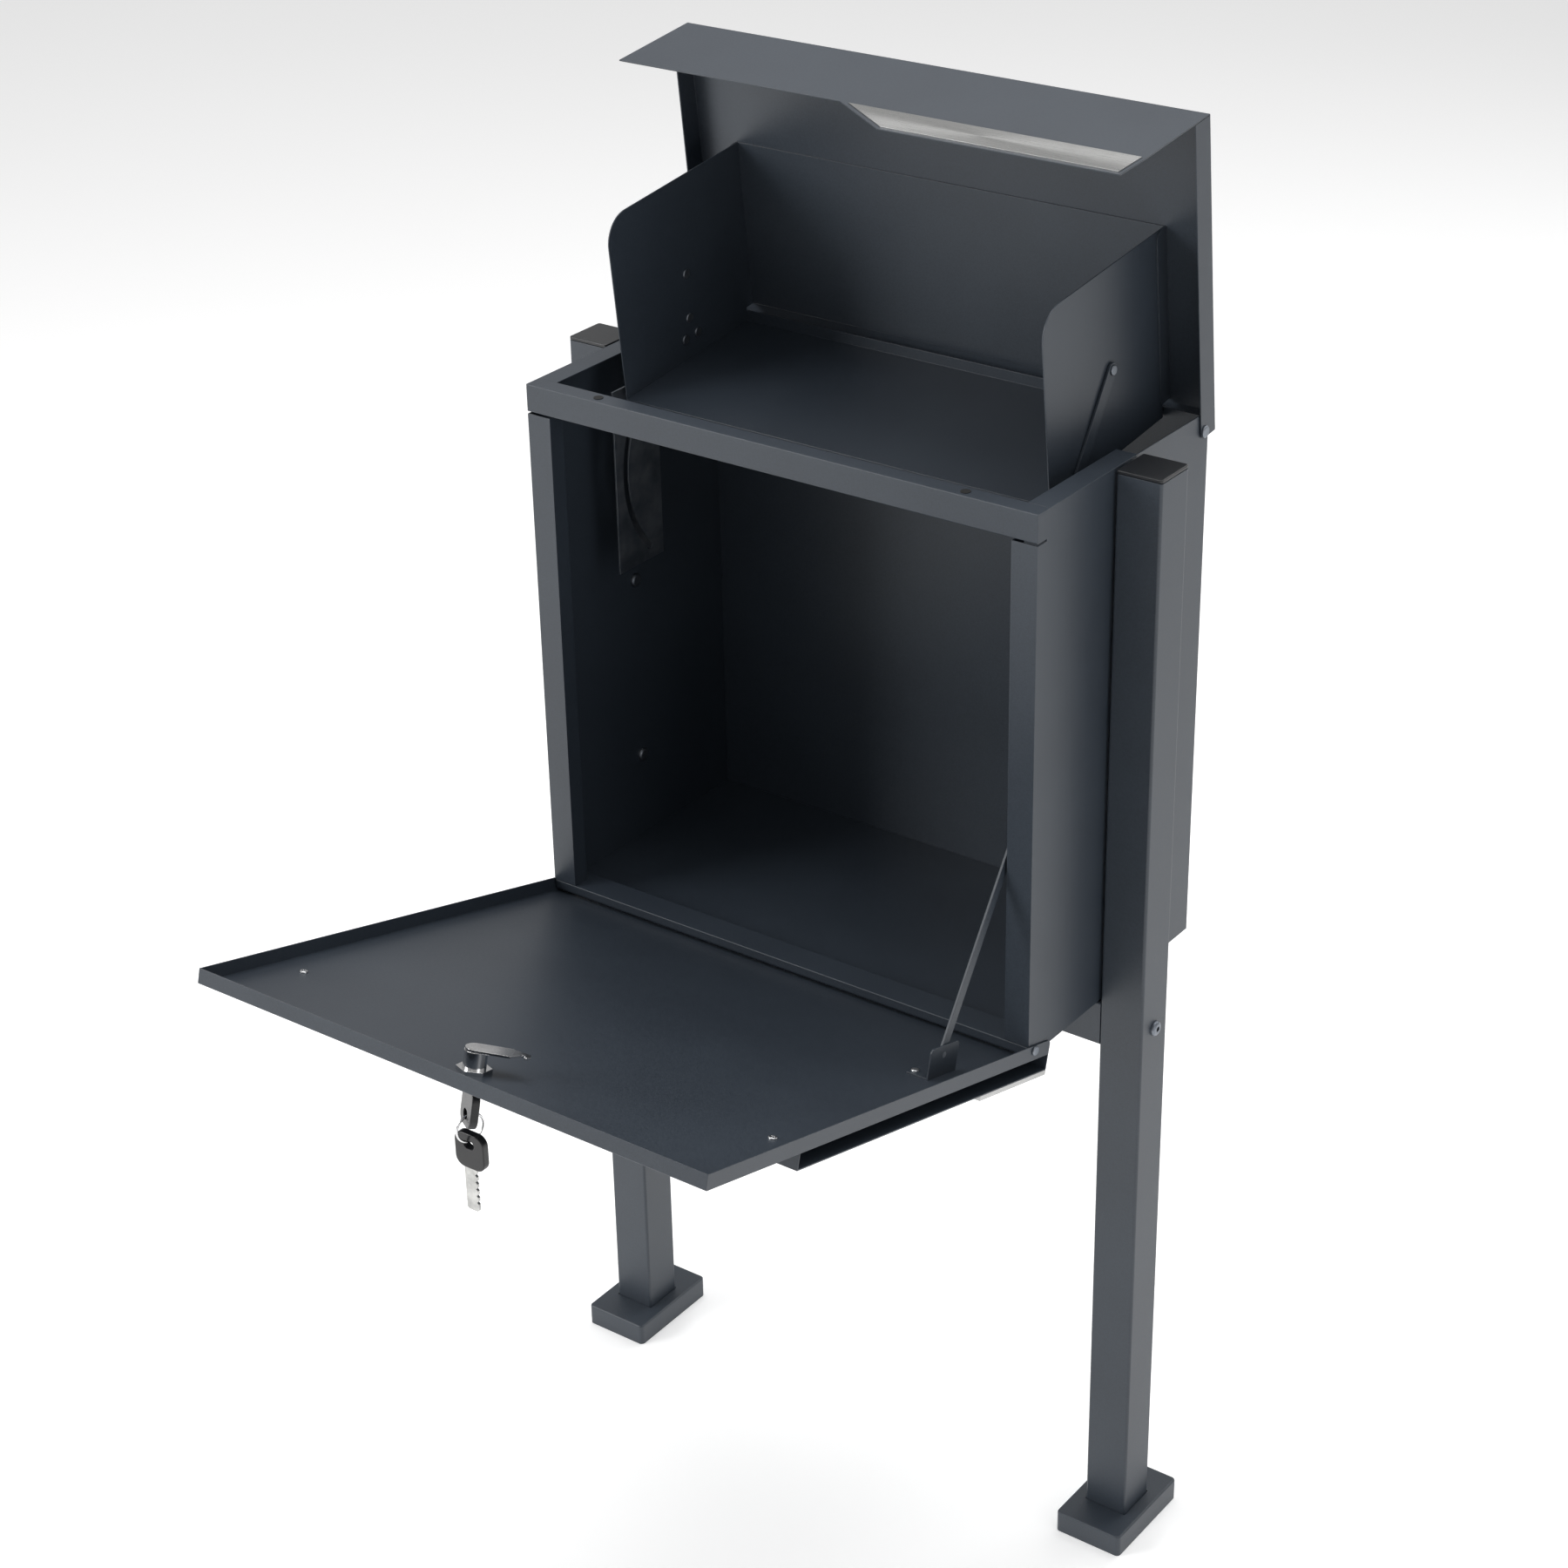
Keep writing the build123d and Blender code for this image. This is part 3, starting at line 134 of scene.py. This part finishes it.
# ---------------------------------------------------------------- materials
def powder_coat(name, base, light, rough=0.42):
    """Fine-textured powder coat with a painted highlight along its folded edges, where it is also a
    little smoother.
    """
    mat, tree, bsdf = new_material(name)
    vector = coords(tree)
    fine = noise(tree, vector, 1500.0, 2.0, 0.6)
    broad = noise(tree, vector, 9.0, 3.0, 0.5)
    pores = noise(tree, vector, 520.0, 3.0, 0.65)
    speck = maths(tree, "ADD", maths(tree, "MULTIPLY", fine, 0.6), maths(tree, "MULTIPLY", pores, 0.4))
    rounded = rounded_normal(tree, COAT_EDGE)
    mask = edge_mask(tree, rounded)
    tone = maths(tree, "ADD", remap(tree, speck, 0.38, 0.62, 0.0, 0.55),
                 remap(tree, broad, 0.3, 0.7, 0.0, 0.25))
    # Painted highlight: the edge mask lightens the base colour along folded edges
    tone = maths(tree, "ADD", tone, maths(tree, "MULTIPLY", mask, 0.55))
    tree.links.new(mix_colour(tree, tone, base, light), bsdf.inputs["Base Color"])
    roughness = maths(tree, "SUBTRACT", remap(tree, speck, 0.35, 0.65, rough - 0.05, rough + 0.08),
                      maths(tree, "MULTIPLY", mask, 0.06))
    tree.links.new(roughness, bsdf.inputs["Roughness"])
    tree.links.new(bump(tree, speck, 0.22, 0.00025, rounded), bsdf.inputs["Normal"])
    bsdf.inputs["IOR"].default_value = 1.52
    bsdf.inputs["Specular IOR Level"].default_value = 0.55
    bsdf.inputs["Coat Weight"].default_value = 0.08
    bsdf.inputs["Coat Roughness"].default_value = 0.35
    return mat


def brushed(name, base, dark, along, rough=0.28):
    """Brushed metal whose scratches run along one axis."""
    mat, tree, bsdf = new_material(name)
    stretch = [SCRATCHES_ACROSS] * 3
    stretch["xyz".index(along)] = SCRATCHES_ALONG
    lines = noise(tree, coords(tree, stretch), 1.0, 5.0, 0.7)
    patches = noise(tree, coords(tree), 30.0, 2.0, 0.5)
    rounded = rounded_normal(tree, BRUSHED_EDGE)
    tone = maths(tree, "ADD", remap(tree, lines, 0.3, 0.7, 0.0, 0.8),
                 maths(tree, "MULTIPLY", patches, 0.2))
    tree.links.new(mix_colour(tree, tone, dark, base), bsdf.inputs["Base Color"])
    tree.links.new(remap(tree, lines, 0.3, 0.7, rough + 0.1, rough - 0.05), bsdf.inputs["Roughness"])
    tree.links.new(bump(tree, lines, 0.12, 0.00008, rounded), bsdf.inputs["Normal"])
    bsdf.inputs["Metallic"].default_value = 1.0
    bsdf.inputs["Anisotropic"].default_value = 0.55
    return mat


def metal(name, base, dark, rough, smudge=40.0, grain=900.0):
    """Plated metal with faint handling marks and rounded edges."""
    mat, tree, bsdf = new_material(name)
    vector = coords(tree)
    marks = noise(tree, vector, smudge, 4.0, 0.6)
    fine = noise(tree, vector, grain, 2.0, 0.6)
    rounded = rounded_normal(tree, METAL_EDGE)
    tree.links.new(mix_colour(tree, remap(tree, marks, 0.35, 0.65, 0.0, 1.0), dark, base),
                   bsdf.inputs["Base Color"])
    worn = maths(tree, "ADD", remap(tree, fine, 0.3, 0.7, rough - 0.03, rough + 0.06),
                 remap(tree, marks, 0.4, 0.7, 0.0, 0.05))
    tree.links.new(worn, bsdf.inputs["Roughness"])
    tree.links.new(bump(tree, fine, 0.06, 0.0001, rounded), bsdf.inputs["Normal"])
    bsdf.inputs["Metallic"].default_value = 1.0
    return mat


def plastic(name, base, light, rough, grain=700.0, strength=0.1):
    """Moulded plastic or rubber with a fine moulded grain and a painted highlight along its sharp edges.
    """
    mat, tree, bsdf = new_material(name)
    vector = coords(tree)
    fine = noise(tree, vector, grain, 3.0, 0.6)
    broad = noise(tree, vector, 25.0, 3.0, 0.5)
    rounded = rounded_normal(tree, PLASTIC_EDGE)
    mask = edge_mask(tree, rounded)
    # Painted highlight: the edge mask lightens the base colour along sharp edges
    tone = maths(tree, "ADD", remap(tree, fine, 0.3, 0.7, 0.0, 0.5),
                 maths(tree, "MULTIPLY", mask, 0.35))
    tree.links.new(mix_colour(tree, tone, base, light), bsdf.inputs["Base Color"])
    tree.links.new(remap(tree, broad, 0.3, 0.7, rough - 0.04, rough + 0.08), bsdf.inputs["Roughness"])
    tree.links.new(bump(tree, fine, strength, 0.0001, rounded), bsdf.inputs["Normal"])
    bsdf.inputs["Specular IOR Level"].default_value = 0.5
    return mat


COAT_DARK = (0.020, 0.027, 0.038)
COAT_LIGHT = (0.042, 0.055, 0.072)
LOOKS = {
    "powder_coat": powder_coat("powder_coat_look", COAT_DARK, COAT_LIGHT),
    "cap_plastic": plastic("cap_plastic_look", (0.012, 0.013, 0.015), (0.03, 0.032, 0.035), 0.32),
    "bumper_rubber": plastic("bumper_rubber_look", (0.004, 0.004, 0.004), (0.012, 0.012, 0.012), 0.7,
                             500.0, 0.25),
    "brushed_plate": brushed("brushed_plate_look", (0.62, 0.62, 0.61), (0.40, 0.40, 0.395), "x"),
    "zinc_steel": metal("zinc_steel_look", (0.30, 0.32, 0.35), (0.18, 0.20, 0.23), 0.42),
    "bright_screw": metal("bright_screw_look", (0.72, 0.73, 0.74), (0.5, 0.51, 0.53), 0.25),
    "lock_chrome": metal("lock_chrome_look", (0.86, 0.86, 0.86), (0.66, 0.66, 0.67), 0.12),
    "key_nickel": metal("key_nickel_look", (0.62, 0.62, 0.60), (0.40, 0.40, 0.39), 0.3, 90.0),
    "key_plastic": plastic("key_plastic_look", (0.005, 0.005, 0.006), (0.018, 0.018, 0.02), 0.22),
}
slot_of = {row["node"]: row["material_slot"] for row in frame["record"]["subparts"]}
for node, obj in frame["nodes"].items():
    look = LOOKS[slot_of[node]]
    for index in range(max(1, len(obj.material_slots))):
        if len(obj.data.materials) == 0:
            obj.data.materials.append(look)
        else:
            obj.material_slots[index].material = look


# ---------------------------------------------------------------- stage
def aim(obj, place, target):
    """Put an object somewhere with its -Z axis at a target."""
    obj.location = place
    obj.rotation_euler = (Vector(target) - Vector(place)).to_track_quat("-Z", "Y").to_euler()


def area_light(name, place, size, power):
    """Rectangular soft white light, aimed at the middle of the box."""
    data = bpy.data.lights.new(name, "AREA")
    data.shape = "RECTANGLE"
    data.size, data.size_y = size
    data.energy = power
    obj = bpy.data.objects.new(name, data)
    bpy.context.collection.objects.link(obj)
    aim(obj, place, LIGHT_TARGET)


def floor_plane():
    """Pale studio floor."""
    half = FLOOR_HALF
    mesh = bpy.data.meshes.new("studio_floor")
    mesh.from_pydata([(-half, -half, 0), (half, -half, 0), (half, half, 0), (-half, half, 0)], [],
                     [(0, 1, 2, 3)])
    obj = bpy.data.objects.new("studio_floor", mesh)
    bpy.context.collection.objects.link(obj)
    mat, tree, bsdf = new_material("studio_floor_look")
    cloud = noise(tree, coords(tree), 0.6, 2.0, 0.5)
    tree.links.new(mix_colour(tree, cloud, (0.86, 0.86, 0.86), (0.9, 0.9, 0.9)),
                   bsdf.inputs["Base Color"])
    bsdf.inputs["Roughness"].default_value = 0.9
    bsdf.inputs["Specular IOR Level"].default_value = 0.1
    bsdf.inputs["Emission Color"].default_value = (1, 1, 1, 1)
    bsdf.inputs["Emission Strength"].default_value = FLOOR_GLOW
    obj.data.materials.append(mat)


floor_plane()
area_light("key_light", (-2.6, -3.0, 2.3), (1.6, 2.2), 85)
area_light("top_light", (-0.2, 0.6, 3.6), (3.0, 2.2), 70)
area_light("side_light", (3.2, -0.6, 1.6), (1.4, 2.4), 14)
area_light("back_light", (0.6, 3.4, 2.4), (2.4, 1.6), 30)
world = bpy.data.worlds.new("studio")
bpy.context.scene.world = world
world.use_nodes = True
background = world.node_tree.nodes["Background"]
background.inputs["Color"].default_value = (1, 1, 1, 1)
background.inputs["Strength"].default_value = ROOM_GLOW
bpy.context.scene.view_settings.view_transform = "Standard"


# ---------------------------------------------------------------- camera
YAW, PITCH, ROLL = radians(CAMERA_YAW), radians(CAMERA_PITCH), radians(CAMERA_ROLL)
forward = Vector((-sin(YAW) * cos(PITCH), cos(YAW) * cos(PITCH), -sin(PITCH)))
level = Vector((cos(YAW), sin(YAW), 0.0))
rise = level.cross(forward)
right = level * cos(ROLL) + rise * sin(ROLL)
above = rise * cos(ROLL) - level * sin(ROLL)
lens = bpy.data.cameras.new("photo_camera")
lens.sensor_width = CAMERA_SENSOR
lens.lens = CAMERA_LENS
lens.dof.use_dof = False
camera = bpy.data.objects.new("photo_camera", lens)
bpy.context.collection.objects.link(camera)
turn = Matrix((right, above, -forward)).transposed().to_4x4()
camera.matrix_world = Matrix.Translation(Vector(CAMERA_PLACE)) @ turn
bpy.context.scene.camera = camera
